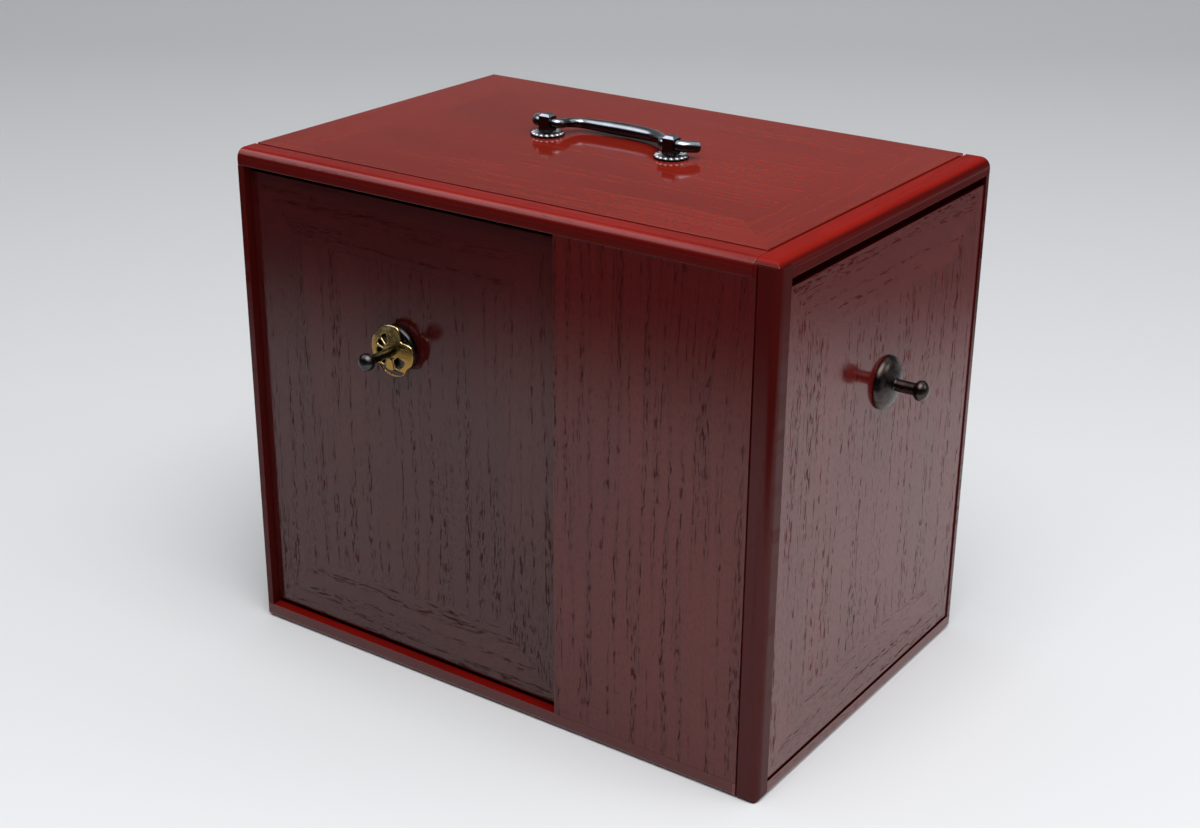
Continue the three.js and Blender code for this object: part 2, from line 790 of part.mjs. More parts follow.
// Doors and their pulls
add('front_door_panel', frontDoorPanel(), lacquer);
add('front_pull_base', frontPullBase(), darkMetal);
add('front_pull_rosette', frontPullRosette(), brassMetal);
const frontButton = { radius: frontButtonRadius, half: frontButtonHalf, reach: frontPullReach };
const rosetteFace = bossThickness + rosetteThickness;
const frontPin = pullPin(rosetteFace, frontDoorThickness, frontPinRadius, frontButton);
add('front_pull_pin', onFront(frontPin), darkMetal);
add('front_pull_nut', pullNut(onFront, frontDoorThickness), darkMetal);
add('side_door_panel', sideDoorPanel(), lacquer);
add('side_pull_plate', sidePullPlate(), darkMetal);
const sideButton = { radius: sideButtonRadius, half: sideButtonHalf, reach: sidePullReach };
const sidePin = pullPin(sideDomeThickness, sideDoorThickness, sidePinRadius, sideButton);
add('side_pull_pin', onSide(sidePin), darkMetal);
add('side_pull_nut', pullNut(onSide, sideDoorThickness), darkMetal);

export default group;
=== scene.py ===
import math

import bmesh
import bpy
from mathutils import Matrix, Vector


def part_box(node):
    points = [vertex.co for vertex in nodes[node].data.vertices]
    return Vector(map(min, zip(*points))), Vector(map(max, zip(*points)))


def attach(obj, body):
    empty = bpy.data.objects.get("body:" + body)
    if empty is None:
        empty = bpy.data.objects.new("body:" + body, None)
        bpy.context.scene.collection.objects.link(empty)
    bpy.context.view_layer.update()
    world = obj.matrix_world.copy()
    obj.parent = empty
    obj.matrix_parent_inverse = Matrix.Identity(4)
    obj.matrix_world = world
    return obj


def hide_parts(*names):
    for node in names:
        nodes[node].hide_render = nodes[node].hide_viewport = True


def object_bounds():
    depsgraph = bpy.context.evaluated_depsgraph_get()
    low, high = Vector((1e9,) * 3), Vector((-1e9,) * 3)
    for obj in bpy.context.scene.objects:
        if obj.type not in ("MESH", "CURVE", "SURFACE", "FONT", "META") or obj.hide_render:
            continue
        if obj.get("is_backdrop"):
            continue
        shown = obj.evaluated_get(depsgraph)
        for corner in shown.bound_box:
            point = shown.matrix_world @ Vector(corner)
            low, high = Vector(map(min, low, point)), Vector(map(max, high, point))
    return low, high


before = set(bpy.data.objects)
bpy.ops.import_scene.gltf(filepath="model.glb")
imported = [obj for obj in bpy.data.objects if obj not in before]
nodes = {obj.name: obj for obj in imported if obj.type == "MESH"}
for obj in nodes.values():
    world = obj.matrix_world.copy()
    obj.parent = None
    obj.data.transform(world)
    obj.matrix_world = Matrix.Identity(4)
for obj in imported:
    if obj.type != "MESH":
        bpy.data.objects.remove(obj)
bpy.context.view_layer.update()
mm = 0.001

# The camera stands at the front right corner and looks down on the box, as a
# person at a table would. Its place was worked out from the box's own corners.
camera_data = bpy.data.cameras.new("camera")
camera_data.lens = 55.751
camera_data.sensor_width = 36
camera = bpy.data.objects.new("camera", camera_data)
camera_place = Vector((0.5397, -0.7845, 0.5346))
camera_azimuth = math.radians(34.853)
camera_elevation = math.radians(22.964)
camera_roll = math.radians(0.422)
camera_back = Vector((
    math.sin(camera_azimuth) * math.cos(camera_elevation),
    -math.cos(camera_azimuth) * math.cos(camera_elevation),
    math.sin(camera_elevation),
))
level_right = Vector((math.cos(camera_azimuth), math.sin(camera_azimuth), 0))
level_up = camera_back.cross(level_right)
camera_right = level_right * math.cos(camera_roll) + level_up * math.sin(camera_roll)
camera_up = level_up * math.cos(camera_roll) - level_right * math.sin(camera_roll)
camera_axes = Matrix((camera_right, camera_up, camera_back)).transposed()
camera.matrix_world = Matrix.Translation(camera_place) @ camera_axes.to_4x4()
bpy.context.scene.collection.objects.link(camera)
bpy.context.scene.camera = camera
bpy.context.scene.view_settings.view_transform = "Standard"


# The floor is a sweep of pale paper that curves up into the backdrop far behind
# the box. Its colour is painted from near white at the box to grey at the top, as
# painted falloff of the light away from the box. It runs far to the front too, so
# that a view from behind sees no end.
def put(tree, kind, settings=(), values=()):
    """Adds a node to a tree, with its settings and the values of its inputs."""
    node = tree.nodes.new(kind)
    for name, setting in dict(settings).items():
        setattr(node, name, setting)
    for name, value in dict(values).items():
        node.inputs[name].default_value = value
    return node


def calculate(tree, operation, first, second=None, third=None):
    """One step of arithmetic on numbers or on the outputs of other nodes."""
    node = put(tree, "ShaderNodeMath", {"operation": operation})
    for place, value in enumerate((first, second, third)):
        if value is None:
            continue
        if isinstance(value, (int, float)):
            node.inputs[place].default_value = value
        else:
            tree.links.new(value, node.inputs[place])
    return node.outputs[0]


def spread(tree, source, low, high, to_low=0.0, to_high=1.0):
    """Spreads the values between low and high over a new range, softly at both ends."""
    node = put(tree, "ShaderNodeMapRange", {"interpolation_type": "SMOOTHSTEP"}, {
        "From Min": low, "From Max": high, "To Min": to_low, "To Max": to_high,
    })
    tree.links.new(source, node.inputs["Value"])
    return node.outputs["Result"]


sweep_depth = 1.6
sweep_front = -14.0
sweep_rise = 2.4
sweep_radius = 1.0
sweep_steps = 24
sweep_width = 6.0
sweep_line = [(sweep_front, 0.0), (sweep_depth, 0.0)]
for step in range(1, sweep_steps + 1):
    bend = math.pi / 2 * step / sweep_steps
    sweep_line.append((
        sweep_depth + sweep_radius * math.sin(bend),
        sweep_radius * (1 - math.cos(bend)),
    ))
sweep_line.append((sweep_depth + sweep_radius, sweep_radius + sweep_rise))
sweep_shape = bmesh.new()
sweep_rows = []
for y, z in sweep_line:
    sweep_rows.append([sweep_shape.verts.new((x, y, z)) for x in (-sweep_width, sweep_width)])
for near, far in zip(sweep_rows, sweep_rows[1:]):
    sweep_face = sweep_shape.faces.new((near[0], near[1], far[1], far[0]))
    sweep_face.smooth = True
sweep_mesh = bpy.data.meshes.new("floor")
sweep_shape.to_mesh(sweep_mesh)
sweep_shape.free()
floor = bpy.data.objects.new("floor", sweep_mesh)
floor.rotation_euler = (0, 0, camera_azimuth)
bpy.context.scene.collection.objects.link(floor)
paper = bpy.data.materials.new("floor_paper")
paper.use_nodes = True
paper_tree = paper.node_tree
paper_shader = paper_tree.nodes["Principled BSDF"]
paper_place = put(paper_tree, "ShaderNodeTexCoord")
paper_parts = put(paper_tree, "ShaderNodeSeparateXYZ")
paper_tree.links.new(paper_place.outputs["Object"], paper_parts.inputs[0])
paper_run = calculate(paper_tree, "ADD", paper_parts.outputs["Y"], paper_parts.outputs["Z"])
paper_start = -0.6
paper_end = 4.4
paper_share = calculate(
    paper_tree, "DIVIDE", calculate(paper_tree, "SUBTRACT", paper_run, paper_start), paper_end - paper_start,
)
paper_falloff = put(paper_tree, "ShaderNodeValToRGB")
paper_tree.links.new(paper_share, paper_falloff.inputs["Fac"])
# The paper's tones are painted falloff of the light: near white by the box, grey far from it.
paper_falloffs = [
    (0.0, 0.84), (0.10, 0.80), (0.20, 0.74), (0.34, 0.73),
    (0.52, 0.71), (0.66, 0.455), (0.80, 0.25), (1.0, 0.13),
]
paper_tint = (0.985, 1.0, 1.02)
paper_falloff.color_ramp.interpolation = "B_SPLINE"
for place, tone in paper_falloffs[1:-1]:
    paper_falloff.color_ramp.elements.new(place)
for element, (place, tone) in zip(paper_falloff.color_ramp.elements, paper_falloffs):
    element.position = place
    element.color = (*(tone * share for share in paper_tint), 1)
paper_tree.links.new(paper_falloff.outputs["Color"], paper_shader.inputs["Base Color"])
paper_shader.inputs["Roughness"].default_value = 0.9
paper_shader.inputs["Specular IOR Level"].default_value = 0.1
floor.data.materials.append(paper)
floor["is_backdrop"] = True

# In front and far to the right the room is dark. A flat dark screen just over the
# paper stands for it: only gloss sees it, and it fades out towards the box.
dark_reach = 3.0
dark_back_right = 2.0
dark_back_left = -0.2
dark_height = 0.4 * mm
dark_corners = [
    (-dark_reach, -dark_reach), (dark_reach, -dark_reach),
    (dark_reach, dark_back_right), (-dark_reach, dark_back_left),
]
dark_shape = bmesh.new()
dark_shape.faces.new([dark_shape.verts.new((x, y, dark_height)) for x, y in dark_corners])
dark_mesh = bpy.data.meshes.new("dark_room")
dark_shape.to_mesh(dark_mesh)
dark_shape.free()
dark_room = bpy.data.objects.new("dark_room", dark_mesh)
bpy.context.scene.collection.objects.link(dark_room)
dark_room.visible_camera = False
dark_room.visible_diffuse = False
dark_room.visible_shadow = False
dark_finish = bpy.data.materials.new("dark_room")
dark_finish.use_nodes = True
dark_tree = dark_finish.node_tree
dark_shader = dark_tree.nodes["Principled BSDF"]
dark_shader.inputs["Base Color"].default_value = (0.02, 0.02, 0.022, 1)
dark_shader.inputs["Roughness"].default_value = 0.9
dark_place = put(dark_tree, "ShaderNodeTexCoord")
dark_parts = put(dark_tree, "ShaderNodeSeparateXYZ")
dark_tree.links.new(dark_place.outputs["Object"], dark_parts.inputs[0])
# Each way into the dark: its shares of X and Y, where it starts and ends, and how dark it gets.
dark_ways = [
    (-0.15, -1.0, 0.42, 0.74, 1.0),
    (0.7, -0.7, 0.40, 0.62, 1.0),
    (1.0, 1.0, 0.68, 1.12, 0.80),
]
darkness = 0.0
for x_share, y_share, start, end, darkest in dark_ways:
    way = calculate(
        dark_tree, "MULTIPLY_ADD", dark_parts.outputs["X"], x_share,
        calculate(dark_tree, "MULTIPLY", dark_parts.outputs["Y"], y_share),
    )
    fade = spread(dark_tree, way, start, end, 0.0, darkest)
    darkness = calculate(dark_tree, "MAXIMUM", darkness, fade)
dark_tree.links.new(darkness, dark_shader.inputs["Alpha"])
dark_room.data.materials.append(dark_finish)
dark_room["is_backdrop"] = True


# Soft studio light: a wide panel high over the box and a small one far off at the
# back right. A third, on the left, shows only in the gloss.
def light_panel(name, place, aim, long_way, size, power, tint):
    """A rectangular soft light that looks at a point, with its first side along long_way."""
    data = bpy.data.lights.new(name, "AREA")
    data.shape = "RECTANGLE"
    data.size, data.size_y = size
    data.energy = power
    data.color = tint
    panel = bpy.data.objects.new(name, data)
    out = (Vector(place) - Vector(aim)).normalized()
    along = Vector(long_way) - out * out.dot(Vector(long_way))
    along.normalize()
    axes = Matrix((along, out.cross(along), out)).transposed()
    panel.matrix_world = Matrix.Translation(Vector(place)) @ axes.to_4x4()
    bpy.context.scene.collection.objects.link(panel)
    return panel


box_middle = (0, 0, 0.14)
front_edge = (0, -0.15, 0.28)
light_panel(
    "light_above", place=(0.6, -0.65, 2.35), aim=box_middle, long_way=(1, 0, 0),
    size=(2.0, 2.0), power=51, tint=(1, 0.99, 0.98),
)
light_panel(
    "light_right", place=(1.7, 0.75, 0.95), aim=box_middle, long_way=(0, 0, 1),
    size=(0.5, 0.6), power=2.8, tint=(0.98, 0.99, 1),
)
light_left = light_panel(
    "light_left", place=(-0.95, -0.42, 1.30), aim=front_edge, long_way=(0, 1, 0),
    size=(1.15, 0.9), power=4.6, tint=(0.90, 0.95, 1),
)
light_left.visible_diffuse = False

# The room gives a faint light of its own, hardly any from in front, low down, and
# most from overhead and from the back.
room_from_back = 0.35
room_from_above = 0.94
room_strengths = (0.03, 0.75)
room = bpy.data.worlds.new("room")
bpy.context.scene.world = room
room.use_nodes = True
room_tree = room.node_tree
room_shader = room_tree.nodes["Background"]
room_shader.inputs["Color"].default_value = (0.95, 0.97, 1.0, 1)
room_way = put(room_tree, "ShaderNodeTexCoord")
room_parts = put(room_tree, "ShaderNodeSeparateXYZ")
room_tree.links.new(room_way.outputs["Generated"], room_parts.inputs[0])
room_share = calculate(
    room_tree, "MULTIPLY_ADD", room_parts.outputs["Y"], room_from_back,
    calculate(room_tree, "MULTIPLY", room_parts.outputs["Z"], room_from_above),
)
room_tree.links.new(
    spread(room_tree, room_share, 0.15, 0.8, *room_strengths), room_shader.inputs["Strength"])


# The panels of the case are open-grained veneer under dark red wiped lacquer.
# The pores stay open, as short dashes in broken lines that the polish hardly
# reaches: dark on the sides, and brighter than the lacquer on the worn top.
def new_group(name, inputs, outputs):
    """A new node group, with the outputs of its input node and the inputs of its output node."""
    group = bpy.data.node_groups.new(name, "ShaderNodeTree")
    for socket, kind in inputs:
        group.interface.new_socket(name=socket, in_out="INPUT", socket_type=kind)
    for socket, kind in outputs:
        group.interface.new_socket(name=socket, in_out="OUTPUT", socket_type=kind)
    return group, put(group, "NodeGroupInput").outputs, put(group, "NodeGroupOutput").inputs


number = "NodeSocketFloat"
colour = "NodeSocketColor"


def stretched_noise(tree, along, across, seed, along_scale, across_scale, detail=1.0):
    """Noise whose grains are longer along the wood than across it. Scales count per metre."""
    joined = put(tree, "ShaderNodeCombineXYZ")
    tree.links.new(calculate(tree, "MULTIPLY", along, along_scale), joined.inputs["X"])
    tree.links.new(calculate(tree, "MULTIPLY", across, across_scale), joined.inputs["Y"])
    tree.links.new(seed, joined.inputs["Z"])
    noise = put(tree, "ShaderNodeTexNoise", (), {"Scale": 1.0, "Detail": detail})
    tree.links.new(joined.outputs[0], noise.inputs["Vector"])
    return noise.outputs["Fac"]


def blended(tree, share, first, second, kind="MIX"):
    """Two colours mixed by a share. Each is a colour or the output of another node."""
    node = put(tree, "ShaderNodeMixRGB", {"blend_type": kind})
    for name, value in (("Fac", share), ("Color1", first), ("Color2", second)):
        if isinstance(value, (int, float, tuple)):
            node.inputs[name].default_value = value
        else:
            tree.links.new(value, node.inputs[name])
    return node.outputs[0]


open_grain, given, result = new_group(
    "open_grain",
    [("Along", number), ("Across", number), ("Seed", number), ("Lacquer", colour), ("Pore", colour),
     ("Pores", number), ("Gloss", number), ("Polish", number)],
    [("Color", colour), ("Height", number), ("Roughness", number), ("Shine", number)],
)
sway_width = 14 * mm
quiver_width = 0.8 * mm
strong_share = 0.75
fine_share = 0.4
figure_share = 0.2
ridge_share = 0.3
pore_roughness = 0.1
pore_dullness = 0.85
cloud_dark = (0.88, 0.86, 0.86, 1)
cloud_light = (1.09, 1.10, 1.10, 1)


def grain_noise(across, along_scale, across_scale, detail=1.0):
    return stretched_noise(
        open_grain, given["Along"], across, given["Seed"], along_scale, across_scale, detail)


def streaks(along_scale, across_scale, low, high, detail=1.0):
    """Marks along the swaying grain. Noise below low is clear and above high a full mark."""
    return spread(open_grain, grain_noise(swayed, along_scale, across_scale, detail), low, high)


sway = calculate(open_grain, "SUBTRACT", grain_noise(given["Across"], 5, 9, 2.0), 0.5)
quiver = calculate(open_grain, "SUBTRACT", grain_noise(given["Across"], 30, 60), 0.5)
swayed = calculate(open_grain, "MULTIPLY_ADD", sway, sway_width, given["Across"])
swayed = calculate(open_grain, "MULTIPLY_ADD", quiver, quiver_width, swayed)
lines = streaks(8, 260, 0.48, 0.62, 2.0)
dashes = streaks(150, 1000, 0.54, 0.60)
strong_lines = streaks(5, 110, 0.60, 0.68, 2.0)
strong_dashes = streaks(120, 1100, 0.53, 0.61)
fine_dashes = streaks(300, 2000, 0.55, 0.66)
pores = calculate(open_grain, "MULTIPLY", lines, dashes)
strong_pores = calculate(open_grain, "MULTIPLY", strong_lines, strong_dashes)
for marks, share in ((strong_pores, strong_share), (fine_dashes, fine_share)):
    pores = calculate(open_grain, "MAXIMUM", pores, calculate(open_grain, "MULTIPLY", marks, share))
pores = calculate(open_grain, "MULTIPLY", pores, given["Pores"])
cloud = spread(open_grain, grain_noise(given["Across"], 6, 12, 3.0), 0.35, 0.65)
shaded = blended(open_grain, cloud, cloud_dark, cloud_light)
lacquer_tone = blended(open_grain, 1.0, given["Lacquer"], shaded, "MULTIPLY")
figure = blended(
    open_grain, calculate(open_grain, "MULTIPLY", lines, figure_share), lacquer_tone, given["Pore"])
open_grain.links.new(blended(open_grain, pores, figure, given["Pore"]), result["Color"])
ridges = calculate(open_grain, "MULTIPLY", grain_noise(swayed, 90, 900, 2.0), ridge_share)
open_grain.links.new(calculate(open_grain, "SUBTRACT", ridges, pores), result["Height"])
open_grain.links.new(
    calculate(open_grain, "MULTIPLY_ADD", pores, pore_roughness, given["Gloss"]), result["Roughness"])
dull = calculate(open_grain, "SUBTRACT", 1.0, calculate(open_grain, "MULTIPLY", pores, pore_dullness))
open_grain.links.new(calculate(open_grain, "MULTIPLY", dull, given["Polish"]), result["Shine"])

# Panels with a border: bands of the same veneer run round the edge with their
# grain parallel to it, and meet in mitres at the corners.
mitred_bands, given, result = new_group(
    "mitred_bands",
    [("Along", number), ("Across", number), ("Half Along", number), ("Half Across", number),
     ("Band", number), ("Seed", number)],
    [("Along", number), ("Across", number), ("Seed", number), ("Joint", number)],
)
from_end = calculate(
    mitred_bands, "SUBTRACT", given["Half Along"], calculate(mitred_bands, "ABSOLUTE", given["Along"]))
from_side = calculate(
    mitred_bands, "SUBTRACT", given["Half Across"], calculate(mitred_bands, "ABSOLUTE", given["Across"]))
in_end_band = calculate(
    mitred_bands, "MULTIPLY",
    calculate(mitred_bands, "LESS_THAN", from_end, given["Band"]),
    calculate(mitred_bands, "LESS_THAN", from_end, from_side),
)
in_side_band = calculate(
    mitred_bands, "MULTIPLY",
    calculate(mitred_bands, "LESS_THAN", from_side, given["Band"]),
    calculate(mitred_bands, "GREATER_THAN", from_end, from_side),
)


def chosen(tree, mask, if_not, if_so):
    """One of two values, by a mask of 0 or 1."""
    node = put(tree, "ShaderNodeMix")
    tree.links.new(mask, node.inputs["Factor"])
    tree.links.new(if_not, node.inputs["A"])
    tree.links.new(if_so, node.inputs["B"])
    return node.outputs["Result"]


mitred_bands.links.new(chosen(mitred_bands, in_end_band, given["Along"], given["Across"]), result["Along"])
mitred_bands.links.new(chosen(mitred_bands, in_end_band, given["Across"], given["Along"]), result["Across"])
end_band_shift = 5.3
side_band_shift = 2.7
band_seed = calculate(mitred_bands, "MULTIPLY_ADD", in_end_band, end_band_shift, given["Seed"])
band_seed = calculate(mitred_bands, "MULTIPLY_ADD", in_side_band, side_band_shift, band_seed)
mitred_bands.links.new(band_seed, result["Seed"])
from_edge = calculate(mitred_bands, "MINIMUM", from_end, from_side)
joint_width = 0.45 * mm
inner_joint = calculate(
    mitred_bands, "ABSOLUTE", calculate(mitred_bands, "SUBTRACT", from_edge, given["Band"]))
mitre_joint = calculate(
    mitred_bands, "ADD",
    calculate(mitred_bands, "ABSOLUTE", calculate(mitred_bands, "SUBTRACT", from_end, from_side)),
    calculate(mitred_bands, "GREATER_THAN", from_edge, given["Band"]),
)
joint_line = spread(
    mitred_bands, calculate(mitred_bands, "MINIMUM", inner_joint, mitre_joint), 0.0, joint_width, 1.0, 0.0)
mitred_bands.links.new(joint_line, result["Joint"])


# Two effects that several finishes share: the painted shadow in a groove, and a mask of the
# faces that don't look up, on which shade is painted.
def share_between(tree, value, start, end):
    """Where a value lies between two others, from 0 at start to 1 at end."""
    run = calculate(tree, "SUBTRACT", value, start)
    return calculate(tree, "DIVIDE", run, calculate(tree, "SUBTRACT", end, start))


groove_shade, given, result = new_group(
    "groove_shade",
    [("Place", number), ("Dark", number), ("Clear", number), ("Color", colour), ("Roughness", number),
     ("Shine", number)],
    [("Color", colour), ("Roughness", number), ("Shine", number)],
)
groove_colour = (0.02, 0.001, 0.001, 1)
groove_roughness = 0.8
depth = spread(
    groove_shade, share_between(groove_shade, given["Place"], given["Dark"], given["Clear"]), 0, 1, 1, 0)
in_light = calculate(groove_shade, "SUBTRACT", 1.0, depth)
shaded_roughness = calculate(groove_shade, "MULTIPLY", depth, groove_roughness)
groove_shade.links.new(blended(groove_shade, depth, given["Color"], groove_colour), result["Color"])
groove_shade.links.new(calculate(groove_shade, "MAXIMUM", given["Roughness"], shaded_roughness), result["Roughness"])
groove_shade.links.new(calculate(groove_shade, "MULTIPLY", given["Shine"], in_light), result["Shine"])

upright_faces, given, result = new_group(
    "upright_faces", [("Low", number), ("High", number)], [("Mask", number)])
face_way = put(upright_faces, "ShaderNodeTexCoord")
face_parts = put(upright_faces, "ShaderNodeSeparateXYZ")
upright_faces.links.new(face_way.outputs["Normal"], face_parts.inputs[0])
looks_up = share_between(upright_faces, face_parts.outputs["Z"], given["Low"], given["High"])
upright_faces.links.new(spread(upright_faces, looks_up, 0, 1, 1, 0), result["Mask"])


def upright_mask(tree, low, high):
    mask = put(tree, "ShaderNodeGroup", {"node_tree": upright_faces}, {"Low": low, "High": high})
    return mask.outputs["Mask"]


pore_depth = 0.12 * mm
joint_share = 0.15


def veneer(name, along, across, lacquer, pore, seed, pores=1.0, gloss=0.13, relief=0.35, panel=None,
           grooves=(), upright_shade=None, upright_shade_range=(0.25, 0.95), polish=1.0, polish_ior=1.5):
    """Lacquered veneer with its grain along one axis. polish is the share of its clear coat, and
    polish_ior how strongly that mirrors. panel holds a bordered panel's corners and band, grooves the
    axis and the places on it between which a groove's painted shadow goes from dark to clear, and
    flank the lacquer's colour on upright faces, darker there as painted shade."""
    material = bpy.data.materials.new(name)
    material.use_nodes = True
    tree = material.node_tree
    shader = tree.nodes["Principled BSDF"]
    shader.inputs["Coat Roughness"].default_value = gloss
    shader.inputs["Coat IOR"].default_value = polish_ior
    shader.inputs["Specular IOR Level"].default_value = 0.0
    place = put(tree, "ShaderNodeTexCoord")
    parts = put(tree, "ShaderNodeSeparateXYZ")
    tree.links.new(place.outputs["Object"], parts.inputs[0])
    grain = put(tree, "ShaderNodeGroup", {"node_tree": open_grain}, {
        "Seed": seed, "Lacquer": (*lacquer, 1), "Pore": (*pore, 1), "Pores": pores, "Gloss": gloss,
        "Polish": polish,
    })
    if panel is None:
        tree.links.new(parts.outputs[along], grain.inputs["Along"])
        tree.links.new(parts.outputs[across], grain.inputs["Across"])
        finish = grain.outputs["Color"]
    else:
        low, high, band = panel
        first = "XYZ".index(along)
        second = "XYZ".index(across)
        bands = put(tree, "ShaderNodeGroup", {"node_tree": mitred_bands}, {
            "Half Along": (high[first] - low[first]) / 2,
            "Half Across": (high[second] - low[second]) / 2,
            "Band": band, "Seed": seed,
        })
        for axis, index, socket in ((along, first, "Along"), (across, second, "Across")):
            middle = (low[index] + high[index]) / 2
            tree.links.new(calculate(tree, "SUBTRACT", parts.outputs[axis], middle), bands.inputs[socket])
            tree.links.new(bands.outputs[socket], grain.inputs[socket])
        tree.links.new(bands.outputs["Seed"], grain.inputs["Seed"])
        faint_joint = calculate(tree, "MULTIPLY", bands.outputs["Joint"], joint_share)
        finish = blended(tree, faint_joint, grain.outputs["Color"], (*pore, 1))
    if upright_shade is not None:
        finish = blended(tree, upright_mask(tree, *upright_shade_range), finish, (*upright_shade, 1))
    shown = {"Color": finish, "Roughness": grain.outputs["Roughness"], "Shine": grain.outputs["Shine"]}
    for axis, dark, clear in grooves:
        shade = put(tree, "ShaderNodeGroup", {"node_tree": groove_shade}, {"Dark": dark, "Clear": clear})
        tree.links.new(parts.outputs[axis], shade.inputs["Place"])
        for socket in shown:
            tree.links.new(shown[socket], shade.inputs[socket])
            shown[socket] = shade.outputs[socket]
    tree.links.new(shown["Color"], shader.inputs["Base Color"])
    tree.links.new(shown["Roughness"], shader.inputs["Roughness"])
    tree.links.new(shown["Shine"], shader.inputs["Coat Weight"])
    bump = put(tree, "ShaderNodeBump", (), {"Distance": pore_depth, "Strength": relief})
    tree.links.new(grain.outputs["Height"], bump.inputs["Height"])
    tree.links.new(bump.outputs["Normal"], shader.inputs["Normal"])
    return material


smooth_faces = bpy.data.node_groups.new("smooth_faces", "GeometryNodeTree")
smooth_faces.is_modifier = True
smooth_faces.interface.new_socket(name="Geometry", in_out="INPUT", socket_type="NodeSocketGeometry")
smooth_faces.interface.new_socket(name="Geometry", in_out="OUTPUT", socket_type="NodeSocketGeometry")
smooth_in = put(smooth_faces, "NodeGroupInput")
smooth_set = put(smooth_faces, "GeometryNodeSetShadeSmooth")
smooth_out = put(smooth_faces, "NodeGroupOutput")
smooth_faces.links.new(smooth_in.outputs[0], smooth_set.inputs["Geometry"])
smooth_faces.links.new(smooth_set.outputs[0], smooth_out.inputs[0])


weld_reach = 0.01 * mm
flat_within = math.radians(1)
eased_above = math.radians(35)


def dress(name, material, edge=0.4 * mm):
    """Gives a piece of the frame its finish and eases its sharp edges, as sanding does."""
    piece = nodes[name]
    piece.data.materials.clear()
    piece.data.materials.append(material)
    weld = piece.modifiers.new("joined", "WELD")
    weld.merge_threshold = weld_reach
    flat = piece.modifiers.new("flat_faces", "DECIMATE")
    flat.decimate_type = "DISSOLVE"
    flat.angle_limit = flat_within
    smooth = piece.modifiers.new("smooth", "NODES")
    smooth.node_group = smooth_faces
    eased = piece.modifiers.new("eased_edges", "BEVEL")
    eased.width = edge
    eased.segments = 3
    eased.limit_method = "ANGLE"
    eased.angle_limit = eased_above
    shading = piece.modifiers.new("shading", "WEIGHTED_NORMAL")
    shading.weight = 100
    return piece


top_low, top_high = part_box("top_board")
veneer_band = 34 * mm
# The reds differ from board to board. They are partly the lacquer's own tone and partly painted light and
# shade: lighter on the top that the light falls on, darker on the upright boards, doors and post. shaded_red
# is painted shade on the back and left boards.
top_red = (0.222, 0.0145, 0.0085)
top_pore = (0.30, 0.038, 0.012)
top_veneer = veneer(
    "top_veneer", "X", "Y", top_red, top_pore, 9.0, pores=0.20, gloss=0.09, relief=0.04,
    panel=(top_low, top_high, veneer_band),
    # Painted shadow along the seams where the top meets the strips.
    grooves=[("Y", top_low.y, top_low.y + 0.35 * mm), ("X", top_high.x, top_high.x - 0.35 * mm)],
)
dress("top_board", top_veneer, 0.3 * mm)
side_red = (0.118, 0.008, 0.007)
side_pore = (0.062, 0.004, 0.004)
bottom_veneer = veneer("bottom_veneer", "X", "Y", side_red, side_pore, 11.0, pores=0.25, relief=0.05)
dress("bottom_board", bottom_veneer, 0.3 * mm)
panel_red = (0.088, 0.006, 0.005)
front_pore = (0.030, 0.002, 0.002)
front_veneer = veneer("fixed_panel_veneer", "Z", "X", panel_red, front_pore, 1.0, pores=0.85, relief=0.08)
dress("fixed_front_panel", front_veneer, 0.12 * mm)
shaded_red = (0.06, 0.004, 0.003)
back_veneer = veneer("back_veneer", "Z", "X", shaded_red, side_pore, 2.0, pores=0.8, relief=0.05)
dress("back_board", back_veneer, 0.3 * mm)
left_veneer = veneer("left_veneer", "Z", "Y", shaded_red, side_pore, 3.0, relief=0.05, polish=0.48)
dress("left_side_board", left_veneer, 0.3 * mm)

# The two doors lift out. Each is one veneered panel with a mitred border band,
# hung by a thin tongue in the grooves above and below.
front_door_low, front_door_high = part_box("front_door_panel")
side_door_low, side_door_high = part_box("side_door_panel")
front_tongues = (4.9 * mm, 4.6 * mm)
side_tongues = (4.0 * mm, 5.9 * mm)
front_door_low.z += front_tongues[0]
front_door_high.z -= front_tongues[1]
side_door_low.z += side_tongues[0]
side_door_high.z -= side_tongues[1]
front_door_red = (0.052, 0.005, 0.005)
front_door_veneer = veneer(
    "front_door_veneer", "Z", "X", front_door_red, front_pore, 5.0, pores=0.85, relief=0.04,
    panel=(front_door_low, front_door_high, veneer_band),
    # Painted shadow on the tongues, in the grooves above and below.
    grooves=[
        ("Z", front_door_high.z, front_door_high.z - 0.5 * mm),
        ("Z", front_door_low.z, front_door_low.z + 0.5 * mm),
    ],
)
dress("front_door_panel", front_door_veneer, 0.5 * mm)
side_door_veneer = veneer(
    "side_door_veneer", "Z", "Y", side_red, side_pore, 7.0, pores=0.85, relief=0.04, polish_ior=1.65,
    panel=(side_door_low, side_door_high, veneer_band),
    # Painted shadow on the top tongue, in the groove above.
    grooves=[("Z", side_door_high.z, side_door_high.z - 0.5 * mm)],
)
dress("side_door_panel", side_door_veneer, 0.5 * mm)

